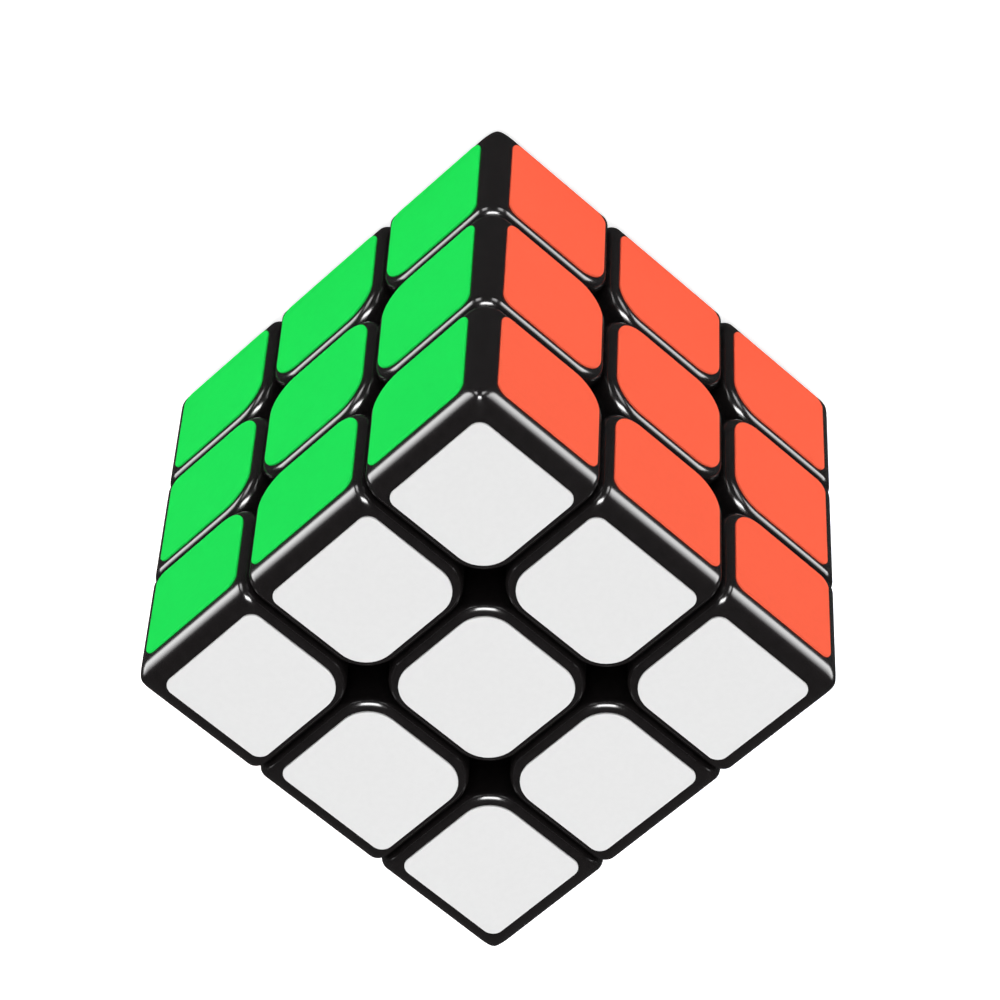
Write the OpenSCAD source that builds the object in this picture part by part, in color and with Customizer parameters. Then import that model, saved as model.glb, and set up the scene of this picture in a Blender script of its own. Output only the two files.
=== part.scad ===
// Three-layer twisty puzzle cube: a core with six screws, six centres, twelve edges, eight corners
// and a sticker on each of the 54 outer faces. The origin is the middle of the core, where all six
// turning axes meet. +Z is the white face, -Y the green face and -X the orange face.

/* [Cube] */
// Width of the cube across its plastic faces
cube_w = 56; // [54:0.5:58]
// Gap between two neighbouring pieces
gap = 0.3; // [0.2:0.05:0.4]
// Wall thickness of the hollow corners and edges
wall = 1.6; // [1.2:0.1:2]

/* [Rounding] */
// Radius along the twelve outer edges of the cube
edge_r = 2.8; // [2:0.1:3.2]
// Radius where the outer face of a piece meets its side walls
rim_r = 1.17; // [0.8:0.01:1.3]
// Plan radius of a piece at each four-way junction
junction_r = 5; // [4:0.1:5.4]

/* [Stickers] */
// Thickness of a sticker
sticker_t = 0.2; // [0.1:0.05:0.3]
// Distance from a sticker to the outer face of the cube beside it
sticker_margin = 2.6; // [2.4:0.05:3]
// Corner radius of a sticker at a four-way junction
sticker_big_r = 3.8; // [2.5:0.1:4.5]
// Corner radius of a sticker elsewhere
sticker_small_r = 1.4; // [0.6:0.1:2]

/* [Mechanism] */
// Distance of the planes between the hidden feet from the core's centre
foot_plane = 5; // [4.8:0.1:5.2]
// Radius of the ball that the hidden feet lie in
foot_r = 18.5; // [18:0.1:19]
// Inner radius of the hidden feet
foot_in_r = 9; // [8.6:0.1:9.4]
// Radius of the core's ball
core_r = 7.5; // [7:0.1:8]
// Radius of each of the core's six arms
arm_r = 3.6; // [3:0.1:4]
// Length of each arm from the core's centre
arm_len = 10.8; // [10.4:0.1:11]
// Height at which the pocket for the spring starts in a centre
pocket_z = 13; // [12.6:0.1:13.4]
// Radius of the pocket for the spring
pocket_r = 3.4; // [3.3:0.05:3.6]
// Thickness of the lid of a centre cap
cap_t = 3.4; // [3:0.1:3.8]

/* [Screws and springs] */
// Radius of a screw's shank
shank_r = 1.5; // [1.3:0.05:1.6]
// Radius of a screw's head
head_r = 2.9; // [2.6:0.05:3]
// Height of a screw's head
head_h = 1.8; // [1.4:0.1:2.2]
// Thickness of a washer
washer_t = 0.6; // [0.4:0.1:0.8]
// Radius of the spring wire
wire_r = 0.32; // [0.25:0.01:0.36]
// Mean radius of a spring
coil_r = 2.35; // [2.3:0.01:2.4]
// Number of turns of a spring
coil_turns = 4.5; // [3:0.5:5]

/* [Hidden] */
$fn = 48;
// clearance of a sliding fit, clearance along an axis, and how far a joined shape or a cut runs on
fit = 0.05;
play = 0.2;
overlap = 0.5;
half = cube_w / 2;
layer = cube_w / 6;
shell_r = foot_r + gap;
cell_in = layer + gap / 2;
cell_side = layer - gap / 2;
foot_in = foot_plane + gap / 2;
foot_side = foot_plane - gap / 2;
stem_r = foot_plane - gap;
stem_z = arm_len + play;
block_z = shell_r - 8;
cap_z = half - cap_t;
plug_r = 6.8;
plug_wall = 1.4;
plug_depth = 2.4;
seat_depth = plug_depth + play;
shank_start = 4.6;
head_z = 19.4;
slot_l = 3.4;
slot_w = 0.7;
slot_depth = 1;
washer_r = head_r + play;
washer_bore_r = shank_r + play;
washer_z = head_z - fit - washer_t;
spring_bottom = pocket_z + play;
spring_top = washer_z - fit;
coil_steps = 12;
wire_sides = 6;
sticker_in = layer + gap / 2 + rim_r;
sticker_side = layer - gap / 2 - rim_r;
sticker_out = half - sticker_margin;

plastic = "#1e1b1c";
steel = "#b9bcc0";
FACES = [
    ["up", [0, 0, 0], "#e9e9e9"],
    ["down", [180, 0, 0], "#f6dc1e"],
    ["front", [90, 0, 0], "#24e55b"],
    ["back", [-90, 0, 0], "#1f5fe0"],
    ["left", [0, -90, 0], "#ff664a"],
    ["right", [0, 90, 0], "#d8202c"]
];
// Each edge: the face its top turns to, the face its front turns to, and that turn
EDGES = [
    ["up", "front", [0, 0, 0]],
    ["up", "right", [0, 0, 90]],
    ["up", "back", [0, 0, 180]],
    ["up", "left", [0, 0, 270]],
    ["right", "front", [0, 90, 0]],
    ["back", "right", [0, 90, 90]],
    ["left", "back", [0, 90, 180]],
    ["front", "left", [0, 90, 270]],
    ["down", "front", [0, 180, 0]],
    ["down", "right", [0, 180, 90]],
    ["down", "back", [0, 180, 180]],
    ["down", "left", [0, 180, 270]]
];
// Each corner: the faces that its top, right and back turn to, and that turn
CORNERS = [
    ["up", "right", "back", [0, 0, 0]],
    ["up", "back", "left", [0, 0, 90]],
    ["up", "left", "front", [0, 0, 180]],
    ["up", "front", "right", [0, 0, 270]],
    ["down", "right", "front", [180, 0, 0]],
    ["down", "back", "right", [180, 0, 90]],
    ["down", "left", "back", [180, 0, 180]],
    ["down", "front", "left", [180, 0, 270]]
];

function face_name(kind, f) = str(kind, "_", f[0]);
function edge_name(kind, e) = str(kind, "_", e[0], "_", e[1]);
function corner_name(kind, c) = str(kind, "_", c[0], "_", c[1], "_", c[2]);
function colour_of(face) = [for (f = FACES) if (f[0] == face) f[2]][0];

// ---- shapes that repeat ----

// What a round corner of radius r takes off a square corner that points to (1, 1)
module corner_waste(r) {
    if (r > 0)
        difference() {
            translate([-r, -r])
                square(2 * r);
            translate([-r, -r])
                circle(r);
            translate([-3 * r, -3 * r])
                square([2 * r, 5 * r]);
            translate([-3 * r, -3 * r])
                square([5 * r, 2 * r]);
        }
}

// A rectangle from lo to hi whose corners have the radii r, counter-clockwise from lo
module rounded(lo, hi, r) {
    places = [lo, [hi[0], lo[1]], hi, [lo[0], hi[1]]];
    difference() {
        translate(lo)
            square(hi - lo);
        for (k = [0:3])
            translate(places[k])
                rotate(180 + 90 * k)
                    corner_waste(r[k]);
    }
}

// A corner cell in the octant where x, y and z are positive, each face moved in by inset
module corner_cell(inset) {
    lo = cell_in + inset;
    hi = half - inset;
    j = junction_r - inset;
    e = max(edge_r - inset, 0);
    m = max(rim_r - inset, 0);
    intersection_for (turn = [[0, 0, 0], [90, 0, 90], [0, -90, -90]])
        rotate(turn)
            linear_extrude(hi)
                rounded([lo, lo], [hi, hi], [j, m, e, m]);
}

// An edge cell on top at the front, each face moved in by inset
module edge_cell(inset) {
    lo = cell_in + inset;
    hi = half - inset;
    side = cell_side - inset;
    j = junction_r - inset;
    e = max(edge_r - inset, 0);
    m = max(rim_r - inset, 0);
    intersection() {
        translate([0, 0, lo])
            linear_extrude(hi - lo)
                rounded([-side, -hi], [side, -lo], [m, m, j, j]);
        translate([0, -lo, 0])
            rotate([90, 0, 0])
                linear_extrude(hi - lo)
                    rounded([-side, lo], [side, hi], [j, j, m, m]);
        translate([-side, 0, 0])
            rotate([90, 0, 90])
                linear_extrude(2 * side)
                    rounded([-hi, lo], [-lo, hi], [m, 0, m, e]);
    }
}

// The part of a ball-shaped shell that the hidden feet lie in
module foot_zone() {
    difference() {
        sphere(foot_r);
        sphere(foot_in_r);
    }
}

module centre_outline() {
    rounded(
        [-cell_side, -cell_side], [cell_side, cell_side],
        [junction_r, junction_r, junction_r, junction_r]
    );
}

function coil_point(k, n) =
    let (a = 360 * coil_turns * k / n, rise = spring_top - spring_bottom - 2 * wire_r)
    [coil_r * cos(a), coil_r * sin(a), spring_bottom + wire_r + rise * k / n];

// A wire along a helix round the Z axis, each ring of it in the plane of the axis
module coil_spring() {
    n = coil_steps * coil_turns;
    points = [
        for (k = [0:n], s = [0:wire_sides - 1])
            let (p = coil_point(k, n), a = 360 * coil_turns * k / n, t = 360 * s / wire_sides)
            p + wire_r * [cos(t) * cos(a), cos(t) * sin(a), sin(t)]
    ];
    sides = [
        for (k = [0:n - 1], s = [0:wire_sides - 1])
            let (i = k * wire_sides, u = (s + 1) % wire_sides)
            [i + u, i + wire_sides + u, i + wire_sides + s, i + s]
    ];
    start = [for (s = [0:wire_sides - 1]) wire_sides - 1 - s];
    end = [for (s = [0:wire_sides - 1]) n * wire_sides + s];
    polyhedron(points, concat([start, end], sides));
}

module screw() {
    translate([0, 0, shank_start])
        cylinder(head_z + fit - shank_start, r = shank_r);
    difference() {
        translate([0, 0, head_z])
            cylinder(head_h, r = head_r);
        for (a = [0, 90])
            rotate(a)
                translate([-slot_l / 2, -slot_w / 2, head_z + head_h - slot_depth])
                    cube([slot_l, slot_w, slot_depth + overlap]);
    }
}

module washer() {
    translate([0, 0, washer_z])
        difference() {
            cylinder(washer_t, r = washer_r);
            translate([0, 0, -overlap])
                cylinder(washer_t + 2 * overlap, r = washer_bore_r);
        }
}

// ---- pieces, each in its place on top, or on top at the front, or at the back right ----

module core() {
    color(plastic)
        difference() {
            union() {
                sphere(core_r);
                for (f = FACES)
                    rotate(f[1])
                        cylinder(arm_len, r = arm_r);
            }
            for (f = FACES)
                rotate(f[1])
                    translate([0, 0, shank_start - fit])
                        cylinder(arm_len, r = shank_r + fit);
        }
}

module screw_spring_sets() {
    color(steel)
        for (f = FACES)
            rotate(f[1]) {
                screw();
                washer();
                coil_spring();
            }
}

module centre() {
    color(plastic)
        difference() {
            union() {
                difference() {
                    translate([0, 0, block_z])
                        linear_extrude(cap_z - block_z)
                            centre_outline();
                    sphere(shell_r);
                }
                translate([0, 0, stem_z])
                    cylinder(shell_r + overlap - stem_z, r = stem_r);
            }
            cylinder(half, r = shank_r + 2 * fit);
            translate([0, 0, pocket_z])
                cylinder(half, r = pocket_r);
            translate([0, 0, cap_z - seat_depth])
                cylinder(half, r = plug_r + fit);
        }
}

module centre_cap() {
    color(plastic) {
        intersection() {
            translate([0, 0, cap_z])
                linear_extrude(cap_t)
                    centre_outline();
            crossed_bars();
        }
        difference() {
            translate([0, 0, cap_z - plug_depth])
                cylinder(plug_depth + overlap, r = plug_r);
            translate([0, 0, cap_z - plug_depth - overlap])
                cylinder(plug_depth + overlap, r = plug_r - plug_wall);
        }
    }
}

// The shape common to two crossing bars whose upper long edges are round
module crossed_bars() {
    intersection_for (turn = [[90, 0, 0], [90, 0, 90]])
        rotate(turn)
            translate([0, 0, -half])
                linear_extrude(cube_w)
                    rounded([-cell_side, 0], [cell_side, half], [0, 0, rim_r, rim_r]);
}

module edge() {
    neck = half - 2 * wall;
    color(plastic)
        difference() {
            union() {
                difference() {
                    edge_cell(0);
                    sphere(shell_r);
                }
                intersection() {
                    translate([-foot_side, -neck, cell_in])
                        cube([2 * foot_side, neck - cell_in, neck - cell_in]);
                    sphere(shell_r + wall);
                }
                intersection() {
                    translate([-foot_side, -half, foot_in])
                        cube([2 * foot_side, half - foot_in, half]);
                    foot_zone();
                }
            }
            difference() {
                edge_cell(wall);
                sphere(shell_r + wall);
            }
        }
}

module corner() {
    color(plastic)
        difference() {
            union() {
                corner_cell(0);
                intersection() {
                    translate([cell_in, cell_in, cell_in])
                        cube(layer);
                    sphere(shell_r + wall);
                }
                intersection() {
                    translate([foot_in, foot_in, foot_in])
                        cube(half);
                    foot_zone();
                }
            }
            difference() {
                corner_cell(wall);
                sphere(shell_r + wall);
            }
        }
}

// ---- stickers ----

module sticker(face, lo, hi, r) {
    color(colour_of(face))
        translate([0, 0, half])
            linear_extrude(sticker_t)
                rounded(lo, hi, r);
}

module centre_sticker(f) {
    r = sticker_big_r;
    sticker(f[0], [-sticker_side, -sticker_side], [sticker_side, sticker_side], [r, r, r, r]);
}

module edge_stickers(e) {
    turns = [[0, 0, 0], [-90, 0, 180]];
    small = sticker_small_r;
    big = sticker_big_r;
    for (k = [0:1])
        rotate(turns[k])
            sticker(
                e[k], [-sticker_side, -sticker_out], [sticker_side, -sticker_in],
                [small, small, big, big]
            );
}

module corner_stickers(c) {
    turns = [[0, 0, 0], [90, 0, 90], [0, -90, -90]];
    small = sticker_small_r;
    for (k = [0:2])
        rotate(turns[k])
            sticker(
                c[k], [sticker_in, sticker_in], [sticker_out, sticker_out],
                [sticker_big_r, small, small, small]
            );
}

core();
screw_spring_sets();
for (f = FACES) {
    rotate(f[1]) centre();
    rotate(f[1]) centre_cap();
    rotate(f[1]) centre_sticker(f);
}
for (e = EDGES) {
    rotate(e[2]) edge();
    rotate(e[2]) edge_stickers(e);
}
for (c = CORNERS) {
    rotate(c[3]) corner();
    rotate(c[3]) corner_stickers(c);
}
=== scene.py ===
"""Twisty puzzle cube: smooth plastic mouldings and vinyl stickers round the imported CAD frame."""

import math

import bmesh
import bpy
import numpy as np
from mathutils import Matrix, Vector


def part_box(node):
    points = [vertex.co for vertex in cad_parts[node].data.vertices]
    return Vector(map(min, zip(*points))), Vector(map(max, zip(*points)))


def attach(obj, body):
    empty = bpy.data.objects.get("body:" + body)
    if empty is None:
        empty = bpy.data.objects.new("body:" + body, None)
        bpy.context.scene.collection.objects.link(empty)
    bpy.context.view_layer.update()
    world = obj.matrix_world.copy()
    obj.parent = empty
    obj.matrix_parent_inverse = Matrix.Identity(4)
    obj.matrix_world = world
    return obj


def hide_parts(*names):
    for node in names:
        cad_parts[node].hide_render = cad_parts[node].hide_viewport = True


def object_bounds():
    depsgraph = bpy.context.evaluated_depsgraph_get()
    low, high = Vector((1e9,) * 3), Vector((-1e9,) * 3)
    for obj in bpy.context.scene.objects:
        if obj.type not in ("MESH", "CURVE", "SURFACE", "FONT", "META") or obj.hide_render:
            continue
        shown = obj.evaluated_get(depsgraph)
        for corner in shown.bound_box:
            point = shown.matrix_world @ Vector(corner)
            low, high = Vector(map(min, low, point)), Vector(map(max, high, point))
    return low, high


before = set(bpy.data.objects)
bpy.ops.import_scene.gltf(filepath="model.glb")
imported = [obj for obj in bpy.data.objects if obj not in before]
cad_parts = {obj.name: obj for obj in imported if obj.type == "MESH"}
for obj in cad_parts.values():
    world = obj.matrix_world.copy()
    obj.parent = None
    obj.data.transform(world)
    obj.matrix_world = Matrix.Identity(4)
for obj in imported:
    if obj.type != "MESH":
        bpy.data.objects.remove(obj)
cad_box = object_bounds()
MM = 0.001

# ---------------------------------------------------------------- sizes, in millimetres
# A name ending in IN is a side nearest the core, in SIDE half a width, and in R a radius

cap_low, cap_high = (Vector(p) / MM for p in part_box("centre_cap_up"))
corner_low, _ = (Vector(p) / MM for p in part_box("corner_up_right_back"))
_, sticker_high = (Vector(p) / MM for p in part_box("centre_sticker_up"))
corner_sticker_low, _ = (Vector(p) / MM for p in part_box("corner_stickers_up_right_back"))

HALF = cap_high.z
LAYER_SIDE = HALF / 3
CELL_SIDE = cap_high.x
HALF_GAP = LAYER_SIDE - CELL_SIDE
CELL_IN = LAYER_SIDE + HALF_GAP
FOOT_IN = corner_low.x
FOOT_SIDE = FOOT_IN - 2 * HALF_GAP
STICKER_T = sticker_high.z - HALF
STICKER_SIDE = sticker_high.x
STICKER_IN = corner_sticker_low.x
RIM_R = CELL_SIDE - STICKER_SIDE

EDGE_R = 2.8
JUNCTION_R = 5.0
FOOT_R = 18.5
FOOT_IN_R = 9.0
SHELL_R = FOOT_R + 2 * HALF_GAP
NECK_R = SHELL_R + 1.6
CAP_Z = HALF - 3.4
PLUG_R = 6.8
PLUG_IN_R = 5.4
STICKER_OUT = HALF - 2.6
STICKER_BIG_R = 3.8
STICKER_SMALL_R = 1.4
STICKER_RIM = 0.06
SOFT = 0.25

# How many steps a quarter of a round outline has, and how sharp the creases at a corner are
QUARTER_STEPS = 10
CREASE_POWER = 12

# Stops of the mesh grids and the cells from each to the next, small where a surface bends
OUTSIDE = 0.05
RIM_START = CELL_SIDE - RIM_R
BEND_START = CELL_SIDE - JUNCTION_R
ACROSS = (-LAYER_SIDE, -RIM_START, -BEND_START, BEND_START, RIM_START, LAYER_SIDE)
CAP_ACROSS_CELLS = (6, 8, 4, 8, 6)
EDGE_ACROSS_CELLS = (6, 8, 6, 8, 6)
OUTWARD = (
    FOOT_IN - OUTSIDE,
    LAYER_SIDE,
    CELL_IN + RIM_R,
    CELL_IN + JUNCTION_R,
    HALF - EDGE_R,
    HALF - RIM_R,
    HALF + OUTSIDE,
)
OUTWARD_CELLS = (8, 8, 10, 7, 5, 7)
CAP_UP = (cap_low.z - OUTSIDE, CAP_Z - SOFT, CAP_Z + SOFT, HALF - RIM_R, HALF + OUTSIDE)
CAP_UP_CELLS = (3, 3, 2, 7)

# How points are drawn onto a surface
NEWTON_STEPS = 4
LONGEST_STEP = 0.3
LEAST_SLOPE = 0.25
SLOPE_STEP = 1e-4
TINY = 1e-9

# ---------------------------------------------------------------- where each piece goes

FACE_TURNS = {
    "up": (0, 0, 0),
    "down": (180, 0, 0),
    "front": (90, 0, 0),
    "back": (-90, 0, 0),
    "left": (0, -90, 0),
    "right": (0, 90, 0),
}
EDGE_TURNS = {
    ("up", "front"): (0, 0, 0),
    ("up", "right"): (0, 0, 90),
    ("up", "back"): (0, 0, 180),
    ("up", "left"): (0, 0, 270),
    ("right", "front"): (0, 90, 0),
    ("back", "right"): (0, 90, 90),
    ("left", "back"): (0, 90, 180),
    ("front", "left"): (0, 90, 270),
    ("down", "front"): (0, 180, 0),
    ("down", "right"): (0, 180, 90),
    ("down", "back"): (0, 180, 180),
    ("down", "left"): (0, 180, 270),
}
CORNER_TURNS = {
    ("up", "right", "back"): (0, 0, 0),
    ("up", "back", "left"): (0, 0, 90),
    ("up", "left", "front"): (0, 0, 180),
    ("up", "front", "right"): (0, 0, 270),
    ("down", "right", "front"): (180, 0, 0),
    ("down", "back", "right"): (180, 0, 90),
    ("down", "left", "back"): (180, 0, 180),
    ("down", "front", "left"): (180, 0, 270),
}
EDGE_STICKER_TURNS = [(0, 0, 0), (-90, 0, 180)]
CORNER_STICKER_TURNS = [(0, 0, 0), (90, 0, 90), (0, -90, -90)]
FACE_COLOURS = {
    "up": "white",
    "down": "yellow",
    "front": "green",
    "back": "blue",
    "left": "orange",
    "right": "red",
}


def turned(angles):
    """The matrix of turns about X, then Y, then Z, in degrees."""
    x, y, z = (math.radians(a) for a in angles)
    return Matrix.Rotation(z, 4, "Z") @ Matrix.Rotation(y, 4, "Y") @ Matrix.Rotation(x, 4, "X")


# ---------------------------------------------------------------- rounded solids as distance fields


def meet(a, b, r):
    """What is inside both a and b, with a fillet of radius r where they meet."""
    u, v = np.maximum(a + r, 0), np.maximum(b + r, 0)
    return np.hypot(u, v) - r + np.minimum(np.maximum(a, b) + r, 0)


def meet3(a, b, c, r):
    """What is inside a, b and c, round at the edges and at the corner."""
    u, v, w = (np.maximum(q + r, 0) for q in (a, b, c))
    return np.sqrt(u * u + v * v + w * w) - r + np.minimum(np.maximum(np.maximum(a, b), c) + r, 0)


def meet_bevelled(a, b, c, r):
    """What is inside a, b and c: fillets of radius r that run on to soft creases at the corner."""
    u, v, w = (np.maximum(q + r, 0) / r for q in (a, b, c))
    n = CREASE_POWER
    pairs = np.hypot(u, v) ** n + np.hypot(v, w) ** n + np.hypot(u, w) ** n
    outside = r * np.maximum(pairs - u**n - v**n - w**n, 0) ** (1 / n)
    return outside - r + np.minimum(np.maximum(np.maximum(a, b), c) + r, 0)


def foot_shell(x, y, z):
    """The ball-shaped zone that the hidden feet lie in."""
    d = np.sqrt(x * x + y * y + z * z)
    return np.maximum(d - FOOT_R, FOOT_IN_R - d)


def corner_field(x, y, z):
    """A corner in the octant where x, y and z are positive."""
    a, b, c = CELL_IN - x, CELL_IN - y, CELL_IN - z
    walls = np.maximum(meet(a, b, JUNCTION_R), meet(b, c, JUNCTION_R))
    walls = np.maximum(walls, meet(a, c, JUNCTION_R))
    skin = meet_bevelled(x - HALF, y - HALF, z - HALF, EDGE_R)
    shell = meet(walls, skin, RIM_R)
    d = np.sqrt(x * x + y * y + z * z)
    neck = meet(meet3(a, b, c, SOFT), d - NECK_R, SOFT)
    foot = meet(meet3(FOOT_IN - x, FOOT_IN - y, FOOT_IN - z, SOFT), foot_shell(x, y, z), SOFT)
    return np.minimum(np.minimum(shell, neck), foot)


def edge_field(x, y, z):
    """The edge between the upper and front faces."""
    side = np.abs(x) - CELL_SIDE
    walls = np.maximum(meet(side, y + CELL_IN, JUNCTION_R), meet(side, CELL_IN - z, JUNCTION_R))
    skin = meet(-y - HALF, z - HALF, EDGE_R)
    d = np.sqrt(x * x + y * y + z * z)
    shell = np.maximum(meet(walls, skin, RIM_R), SHELL_R - d)
    narrow = np.abs(x) - FOOT_SIDE
    neck = meet(meet3(narrow, y + CELL_IN, CELL_IN - z, SOFT), d - NECK_R, SOFT)
    foot = meet(meet3(narrow, y + FOOT_IN, FOOT_IN - z, SOFT), foot_shell(x, y, z), SOFT)
    return np.minimum(np.minimum(shell, neck), foot)


def cap_field(x, y, z):
    """The centre cap on top, with the round plug under its lid."""
    walls = meet(np.abs(x) - CELL_SIDE, np.abs(y) - CELL_SIDE, JUNCTION_R)
    lid = np.maximum(meet(walls, z - HALF, RIM_R), CAP_Z - z)
    d = np.hypot(x, y)
    ring = np.maximum(d - PLUG_R, PLUG_IN_R - d)
    plug = np.maximum(ring, np.maximum(cap_low.z - z, z - CAP_Z - SOFT))
    return np.minimum(lid, plug)


# ---------------------------------------------------------------- a mesh from a distance field


def lines(stops, cells):
    """Grid lines through all the stops, with the given number of cells from each to the next."""
    stretches = [np.linspace(a, b, n, endpoint=False) for a, b, n in zip(stops, stops[1:], cells)]
    return np.concatenate([*stretches, stops[-1:]])


def shifted(a, offsets, size):
    """The part of a that lies at these offsets, size long on each axis."""
    return a[tuple(slice(o, o + n) for o, n in zip(offsets, size))]


def crossings(values, axes):
    """For each grid cell, the mean of the points where its edges cross zero, and how many do."""
    size = [n - 1 for n in values.shape]
    total, count = np.zeros((*size, 3)), np.zeros(size)
    for axis in range(3):
        step = np.eye(3, dtype=int)[axis]
        length = np.array(values.shape) - step
        near, far = shifted(values, (0, 0, 0), length), shifted(values, step, length)
        hit = (near < 0) != (far < 0)
        share = np.where(hit, near / np.where(hit, near - far, 1), 0)
        grids = np.meshgrid(*[a[:n] for a, n in zip(axes, length)], indexing="ij")
        grids[axis] = grids[axis] + share * np.diff(axes[axis]).reshape(
            [-1 if k == axis else 1 for k in range(3)]
        )
        others = [k for k in range(3) if k != axis]
        for corner in range(4):
            offset = np.zeros(3, int)
            offset[others[0]], offset[others[1]] = corner & 1, corner >> 1
            part = shifted(hit, offset, size)
            count += part
            for k in range(3):
                total[..., k] += part * shifted(grids[k], offset, size)
    return total, count


def quads_between(values, ids):
    """A face for each grid edge that crosses zero, joining the four cells round it."""
    faces = []
    for axis in range(3):
        step = np.eye(3, dtype=int)[axis]
        length = np.array(values.shape) - step
        near = shifted(values, (0, 0, 0), length) < 0
        far = shifted(values, step, length) < 0
        where = np.argwhere(near != far)
        b, c = np.eye(3, dtype=int)[(axis + 1) % 3], np.eye(3, dtype=int)[(axis + 2) % 3]
        around = [ids[tuple((where - back).T)] for back in (b + c, c, 0 * c, b)]
        ring = np.stack(around, axis=1)
        outward = near[tuple(where.T)]
        faces.append(np.where(outward[:, None], ring, ring[:, ::-1]))
    return np.concatenate(faces)


def slope(field, p):
    """The field's gradient at the points p."""
    steps = SLOPE_STEP * np.eye(3)
    rises = [field(*(p + step).T) - field(*(p - step).T) for step in steps]
    return np.stack(rises, axis=1) / (2 * SLOPE_STEP)


def drawn_to_surface(field, points):
    """The points, moved by Newton's method to where the field is zero."""
    for _ in range(NEWTON_STEPS):
        g = slope(field, points)
        reach = field(*points.T) / np.maximum((g * g).sum(axis=1), LEAST_SLOPE)
        points = points - np.clip(reach, -LONGEST_STEP, LONGEST_STEP)[:, None] * g
    return points


def solid_mesh(name, field, axes):
    """A closed mesh, in metres, of the surface where the field is zero, with the field's own normals."""
    values = field(*np.meshgrid(*axes, indexing="ij"))
    total, count = crossings(values, axes)
    used = count > 0
    ids = np.full(count.shape, -1)
    ids[used] = np.arange(used.sum())
    points = drawn_to_surface(field, total[used] / count[used][:, None])
    normals = slope(field, points)
    normals /= np.maximum(np.linalg.norm(normals, axis=1), TINY)[:, None]
    mesh = bpy.data.meshes.new(name)
    mesh.from_pydata((points * MM).tolist(), [], quads_between(values, ids).tolist())
    mesh.polygons.foreach_set("use_smooth", [True] * len(mesh.polygons))
    mesh.normals_split_custom_set_from_vertices(normals.tolist())
    mesh.validate()
    return mesh


# ---------------------------------------------------------------- sticker meshes


def outline(lo, hi, radii):
    """A rounded rectangle's points, counter-clockwise from its lower left corner."""
    places = [(lo[0], lo[1]), (hi[0], lo[1]), (hi[0], hi[1]), (lo[0], hi[1])]
    inward = [(1, 1), (-1, 1), (-1, -1), (1, -1)]
    points = []
    for k, ((x, y), (sx, sy), r) in enumerate(zip(places, inward, radii)):
        for step in range(QUARTER_STEPS + 1):
            a = math.radians(180 + 90 * k + 90 * step / QUARTER_STEPS)
            points.append((x + sx * r + r * math.cos(a), y + sy * r + r * math.sin(a)))
    return points


def sticker_mesh(name, lo, hi, radii):
    """A thin film with a softly rounded upper rim, lying on the plane z = HALF."""
    slight = 0.3 * STICKER_RIM
    rings = [
        (0.0, 0.0),
        (0.0, STICKER_T - STICKER_RIM),
        (slight, STICKER_T - slight),
        (STICKER_RIM, STICKER_T),
    ]
    verts = []
    for inset, height in rings:
        low = (lo[0] + inset, lo[1] + inset)
        high = (hi[0] - inset, hi[1] - inset)
        ring = outline(low, high, [r - inset for r in radii])
        verts += [(x * MM, y * MM, (HALF + height) * MM) for x, y in ring]
    n = len(verts) // len(rings)
    faces = [tuple(reversed(range(n)))]
    for r in range(len(rings) - 1):
        for k in range(n):
            m = (k + 1) % n
            faces.append((r * n + k, r * n + m, (r + 1) * n + m, (r + 1) * n + k))
    faces.append(tuple(range((len(rings) - 1) * n, len(rings) * n)))
    mesh = bpy.data.meshes.new(name)
    mesh.from_pydata(verts, [], faces)
    mesh.validate()
    return mesh


# ---------------------------------------------------------------- materials


class Shader:
    """A Principled material, built with short calls; noise scales are in waves per metre."""

    def __init__(self, name):
        self.material = bpy.data.materials.new(name)
        self.material.use_nodes = True
        self.nodes = self.material.node_tree.nodes
        self.links = self.material.node_tree.links
        self.bsdf = self.nodes["Principled BSDF"]
        self.coords = self.nodes.new("ShaderNodeTexCoord")

    def set(self, **sockets):
        for name, value in sockets.items():
            self.bsdf.inputs[name.replace("_", " ")].default_value = value

    def noise(self, scale, detail=3.0):
        """Noise in the object's own space, from 0 to 1."""
        node = self.nodes.new("ShaderNodeTexNoise")
        node.inputs["Scale"].default_value = scale
        node.inputs["Detail"].default_value = detail
        self.links.new(self.coords.outputs["Object"], node.inputs["Vector"])
        return node.outputs["Fac"]

    def spread(self, source, low, high):
        """The source's middle range, mapped to low to high."""
        node = self.nodes.new("ShaderNodeMapRange")
        node.inputs["From Min"].default_value = 0.3
        node.inputs["From Max"].default_value = 0.7
        node.inputs["To Min"].default_value = low
        node.inputs["To Max"].default_value = high
        self.links.new(source, node.inputs["Value"])
        return node.outputs["Result"]

    def ramp(self, source, low, high):
        """The source's middle range, turned into colours from low to high."""
        node = self.nodes.new("ShaderNodeValToRGB")
        node.color_ramp.elements[0].position = 0.35
        node.color_ramp.elements[0].color = (*low, 1)
        node.color_ramp.elements[1].position = 0.65
        node.color_ramp.elements[1].color = (*high, 1)
        self.links.new(source, node.inputs["Fac"])
        return node.outputs["Color"]

    def bump(self, source, distance):
        """A relief of the source, with its height in metres."""
        node = self.nodes.new("ShaderNodeBump")
        node.inputs["Distance"].default_value = distance
        self.links.new(source, node.inputs["Height"])
        self.links.new(node.outputs["Normal"], self.bsdf.inputs["Normal"])

    def feed(self, source, socket):
        self.links.new(source, self.bsdf.inputs[socket])


def scaled(colour, k):
    return tuple(c * k for c in colour)


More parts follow.
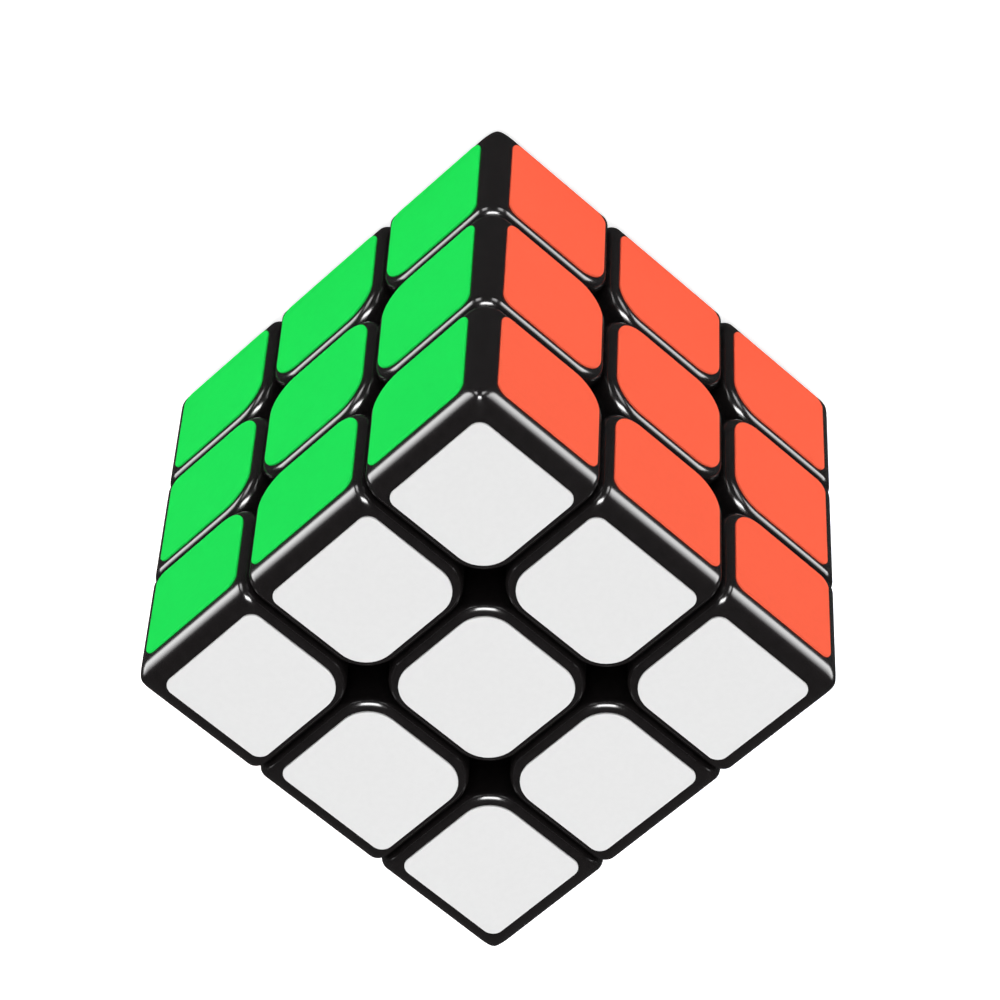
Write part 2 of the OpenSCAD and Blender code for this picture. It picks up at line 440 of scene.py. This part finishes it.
def plastic_material():
    """Black ABS: nearly black, smooth and satin, with the faint grain of a polished mould."""
    s = Shader("black_plastic")
    low, high = (0.0085, 0.0073, 0.0075), (0.0115, 0.0098, 0.0101)
    s.feed(s.ramp(s.noise(scale=900), low, high), "Base Color")
    s.feed(s.spread(s.noise(scale=260), low=0.17, high=0.2), "Roughness")
    s.bump(s.noise(scale=4200, detail=2.0), distance=0.0003 * MM)
    s.set(IOR=1.5)
    return s.material


def vinyl_material(name, colour):
    """Matt vinyl film: even colour with a very fine pebbled surface."""
    s = Shader(name)
    s.feed(s.ramp(s.noise(scale=1500), scaled(colour, 0.985), colour), "Base Color")
    s.feed(s.spread(s.noise(scale=500), low=0.62, high=0.72), "Roughness")
    s.bump(s.noise(scale=9000, detail=2.0), distance=0.001 * MM)
    s.set(Specular_IOR_Level=0.002)
    return s.material


def steel_material():
    """Zinc-plated steel, with a fine uneven grain."""
    s = Shader("plated_steel")
    s.feed(s.ramp(s.noise(scale=700), (0.5, 0.5, 0.51), (0.62, 0.63, 0.65)), "Base Color")
    s.feed(s.spread(s.noise(scale=1800), low=0.22, high=0.38), "Roughness")
    s.bump(s.noise(scale=6000, detail=2.0), distance=0.004 * MM)
    s.set(Metallic=1.0)
    return s.material


def floor_material():
    """A matt pale floor that also glows, so that it stays white round the object."""
    s = Shader("pale_floor")
    s.feed(s.ramp(s.noise(scale=60), (0.9, 0.9, 0.9), (0.93, 0.93, 0.93)), "Base Color")
    s.feed(s.spread(s.noise(scale=200), low=0.7, high=0.85), "Roughness")
    s.bump(s.noise(scale=900), distance=0.01 * MM)
    s.set(Specular_IOR_Level=0.2, Emission_Color=(1, 1, 1, 1), Emission_Strength=0.71)
    return s.material


def backdrop_material():
    """An evenly pale backdrop that no light changes."""
    s = Shader("pale_backdrop")
    s.feed(s.ramp(s.noise(scale=2), (0.84, 0.84, 0.84), (0.88, 0.88, 0.88)), "Emission Color")
    s.set(Base_Color=(0, 0, 0, 1), Specular_IOR_Level=0.0, Emission_Strength=1.0)
    return s.material


VINYL = {
    "white": (0.81, 0.81, 0.81),
    "yellow": (0.93, 0.72, 0.015),
    "green": (0.014, 0.76, 0.098),
    "blue": (0.014, 0.12, 0.74),
    "orange": (0.999, 0.136, 0.069),
    "red": (0.69, 0.016, 0.026),
}

# ---------------------------------------------------------------- pieces


def piece(name, mesh, material, place, body, node):
    """One piece of the visual model, standing for its CAD node."""
    if not mesh.materials:
        mesh.materials.append(material)
    obj = bpy.data.objects.new(name, mesh)
    bpy.context.scene.collection.objects.link(obj)
    obj.matrix_world = place
    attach(obj, body)
    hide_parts(node)


def sticker_piece(name, face, film, place, body, node):
    """A sticker in its face's colour; stickers of one shape and colour share a mesh."""
    colour = FACE_COLOURS[face]
    shape, lo, hi, radii = film
    key = f"{shape}_{colour}"
    mesh = bpy.data.meshes.get(key) or sticker_mesh(key, lo, hi, radii)
    piece(name, mesh, vinyl[colour], place, body, node)


def build_centres():
    """Six centre caps with one sticker each."""
    across = lines(ACROSS, CAP_ACROSS_CELLS)
    mesh = solid_mesh("cap", cap_field, (across, across, lines(CAP_UP, CAP_UP_CELLS)))
    low, high = (-STICKER_SIDE, -STICKER_SIDE), (STICKER_SIDE, STICKER_SIDE)
    film = ("centre_film", low, high, [STICKER_BIG_R] * 4)
    for face, angles in FACE_TURNS.items():
        place, body = turned(angles), f"centre_{face}"
        piece(f"cap_{face}", mesh, plastic, place, body, f"centre_cap_{face}")
        sticker_piece(f"sticker_{face}_centre", face, film, place, body, f"centre_sticker_{face}")


def build_edges():
    """Twelve edges with two stickers each."""
    across = lines(ACROSS, EDGE_ACROSS_CELLS)
    out = lines(OUTWARD, OUTWARD_CELLS)
    mesh = solid_mesh("edge", edge_field, (across, -out[::-1], out))
    low, high = (-STICKER_SIDE, -STICKER_OUT), (STICKER_SIDE, -STICKER_IN)
    small, big = STICKER_SMALL_R, STICKER_BIG_R
    film = ("edge_film", low, high, [small, small, big, big])
    for faces, angles in EDGE_TURNS.items():
        label = "_".join(faces)
        body, place = f"edge_{label}", turned(angles)
        piece(f"edge_{label}_moulding", mesh, plastic, place, body, body)
        for face, turn in zip(faces, EDGE_STICKER_TURNS):
            name = f"sticker_{face}_of_edge_{label}"
            node = f"edge_stickers_{label}"
            sticker_piece(name, face, film, place @ turned(turn), body, node)


def build_corners():
    """Eight corners with three stickers each."""
    out = lines(OUTWARD, OUTWARD_CELLS)
    mesh = solid_mesh("corner", corner_field, (out, out, out))
    low, high = (STICKER_IN, STICKER_IN), (STICKER_OUT, STICKER_OUT)
    small = STICKER_SMALL_R
    film = ("corner_film", low, high, [STICKER_BIG_R, small, small, small])
    for faces, angles in CORNER_TURNS.items():
        label = "_".join(faces)
        body, place = f"corner_{label}", turned(angles)
        piece(f"corner_{label}_moulding", mesh, plastic, place, body, body)
        for face, turn in zip(faces, CORNER_STICKER_TURNS):
            name = f"sticker_{face}_of_corner_{label}"
            node = f"corner_stickers_{label}"
            sticker_piece(name, face, film, place @ turned(turn), body, node)


def finish_cad_nodes():
    """Better materials on the CAD nodes that stay: the core, its hardware and the six centres."""
    for name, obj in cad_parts.items():
        if name == "core" or (name.startswith("centre_") and name.count("_") == 1):
            obj.material_slots[0].material = plastic
        elif name == "screw_spring_sets":
            obj.material_slots[0].material = steel


plastic = plastic_material()
steel = steel_material()
vinyl = {name: vinyl_material(f"{name}_vinyl", colour) for name, colour in VINYL.items()}
build_centres()
build_edges()
build_corners()
finish_cad_nodes()

# ---------------------------------------------------------------- floor, lights and camera, in metres

FLOOR_SIZE = 2.2
FLOOR_GAP = 0.05 * MM
DOME_RADIUS = 2.9
WORLD_STRENGTH = 0.06

# The soft lights, which don't show as reflections: place, size and power
SOFT_LIGHTS = {
    "key": ((-0.6, -0.6, 0.6), 0.6, 2.4),
    "above": ((0, 0, 1.0), 0.8, 6.9),
    "fill_right": ((0.8, -0.1, 0.35), 0.5, 2.6),
    "fill_back": ((-0.1, 0.8, 0.35), 0.5, 2.6),
}

# The panels, which only show as reflections. Azimuths are in degrees from the front, and the left
# face's panels mirror the front's about the edge between them. The edge panels light up the round
# edges of the upper face, the rim panels the rims of the plates, the corner panel the junctions.
# Each layer of a panel is shorter than the one before, by PANEL_FADE / PANEL_LAYERS of the panel's
# height, and sinks by PANEL_DROP of all that it has lost, so the panel fades most at the top.
PANEL_AWAY = 0.8
PANEL_LAYERS = 6
PANEL_FADE = 0.75
PANEL_DROP = 0.25
SIDE_PANELS = {
    # azimuth, width and radiance
    "edge": (25, 0.5, 41),
    "rim": (-16, 0.24, 27),
}
SIDE_ELEVATION = -5
SIDE_HEIGHT = 0.56
LEFT_AZIMUTH = -90

# The camera's turns in degrees, its place along its own axes, and its lens in millimetres
AZIMUTH, ELEVATION, ROLL = -48.94, 54.67, -176.53
WIDTH = 2 * (HALF + STICKER_T) * MM
AWAY = Vector((0.0088, 0.0789, 9.9063)) * WIDTH
LENS = 175.17
SENSOR = 36.0
NEAR_CLIP = 0.01


def staged(name, mesh, material):
    """An object that isn't part of the cube, and doesn't show in it or shade it."""
    mesh.materials.append(material)
    obj = bpy.data.objects.new(name, mesh)
    bpy.context.scene.collection.objects.link(obj)
    obj.visible_glossy = False
    obj.visible_shadow = False
    return obj


def build_floor():
    """A square floor, a hair below the cube so that it doesn't mix with the lowest stickers."""
    mesh = bpy.data.meshes.new("floor")
    s, z = FLOOR_SIZE / 2, cad_box[0][2] - FLOOR_GAP
    mesh.from_pydata([(-s, -s, z), (s, -s, z), (s, s, z), (-s, s, z)], [], [(0, 1, 2, 3)])
    staged("floor", mesh, floor_material())


def build_backdrop():
    """A pale round backdrop far from the cube on every side, which doesn't light it."""
    mesh = bpy.data.meshes.new("backdrop")
    shape = bmesh.new()
    bmesh.ops.create_uvsphere(shape, u_segments=64, v_segments=32, radius=DOME_RADIUS)
    shape.to_mesh(mesh)
    shape.free()
    backdrop = staged("backdrop", mesh, backdrop_material())
    backdrop.visible_diffuse = False


def build_world():
    """A faint even light from all round."""
    world = bpy.data.worlds.new("studio")
    world.use_nodes = True
    background = world.node_tree.nodes["Background"]
    background.inputs["Color"].default_value = (1, 1, 1, 1)
    background.inputs["Strength"].default_value = WORLD_STRENGTH
    bpy.context.scene.world = world


def softbox(name, place, width, height, power):
    """A rectangular light at place, facing the origin."""
    data = bpy.data.lights.new(name, "AREA")
    data.shape = "RECTANGLE"
    data.size, data.size_y = width, height
    data.energy = power
    obj = bpy.data.objects.new(name, data)
    bpy.context.scene.collection.objects.link(obj)
    obj.location = place
    obj.rotation_euler = (-Vector(place)).to_track_quat("-Z", "Y").to_euler()
    obj.visible_camera = False
    return obj


def soft_panel(name, azimuth, elevation, width, height, radiance):
    """A stack of lights that shows as one panel, fading a long way up and a short way down."""
    a, e = math.radians(azimuth), math.radians(elevation)
    towards = Vector((math.sin(a) * math.cos(e), -math.cos(a) * math.cos(e), math.sin(e)))
    for layer in range(PANEL_LAYERS):
        tall = height * (1 - PANEL_FADE * layer / PANEL_LAYERS)
        place = PANEL_AWAY * towards - Vector((0, 0, PANEL_DROP * (height - tall)))
        power = radiance * width * tall / PANEL_LAYERS
        light = softbox(f"{name}_{layer}", place, width, tall, power)
        light.visible_diffuse = False


def build_panels():
    """The reflections on the black plastic."""
    for side in ("front", "left"):
        for part, (azimuth, width, radiance) in SIDE_PANELS.items():
            around = azimuth if side == "front" else LEFT_AZIMUTH - azimuth
            soft_panel(f"panel_{side}_{part}", around, SIDE_ELEVATION, width, SIDE_HEIGHT, radiance)
    soft_panel("panel_corner", azimuth=-45, elevation=46, width=0.5, height=0.38, radiance=104)


def build_soft_lights():
    """The light on the stickers and the floor."""
    for name, (place, size, power) in SOFT_LIGHTS.items():
        light = softbox(name, place, size, size, power)
        light.visible_glossy = False


def build_camera():
    """A long lens, turned so that the white face is lowest in the picture."""
    data = bpy.data.cameras.new("camera")
    data.lens = LENS
    data.sensor_width = SENSOR
    data.clip_start = NEAR_CLIP
    camera = bpy.data.objects.new("camera", data)
    bpy.context.scene.collection.objects.link(camera)
    spin = Matrix.Rotation(math.radians(AZIMUTH), 4, "Z")
    tilt = Matrix.Rotation(math.radians(90 - ELEVATION), 4, "X")
    roll = Matrix.Rotation(math.radians(ROLL), 4, "Z")
    facing = spin @ tilt @ roll
    camera.matrix_world = Matrix.Translation(facing @ AWAY) @ facing
    bpy.context.scene.camera = camera


build_floor()
build_backdrop()
build_world()
build_panels()
build_soft_lights()
build_camera()
bpy.context.scene.view_settings.view_transform = "Standard"
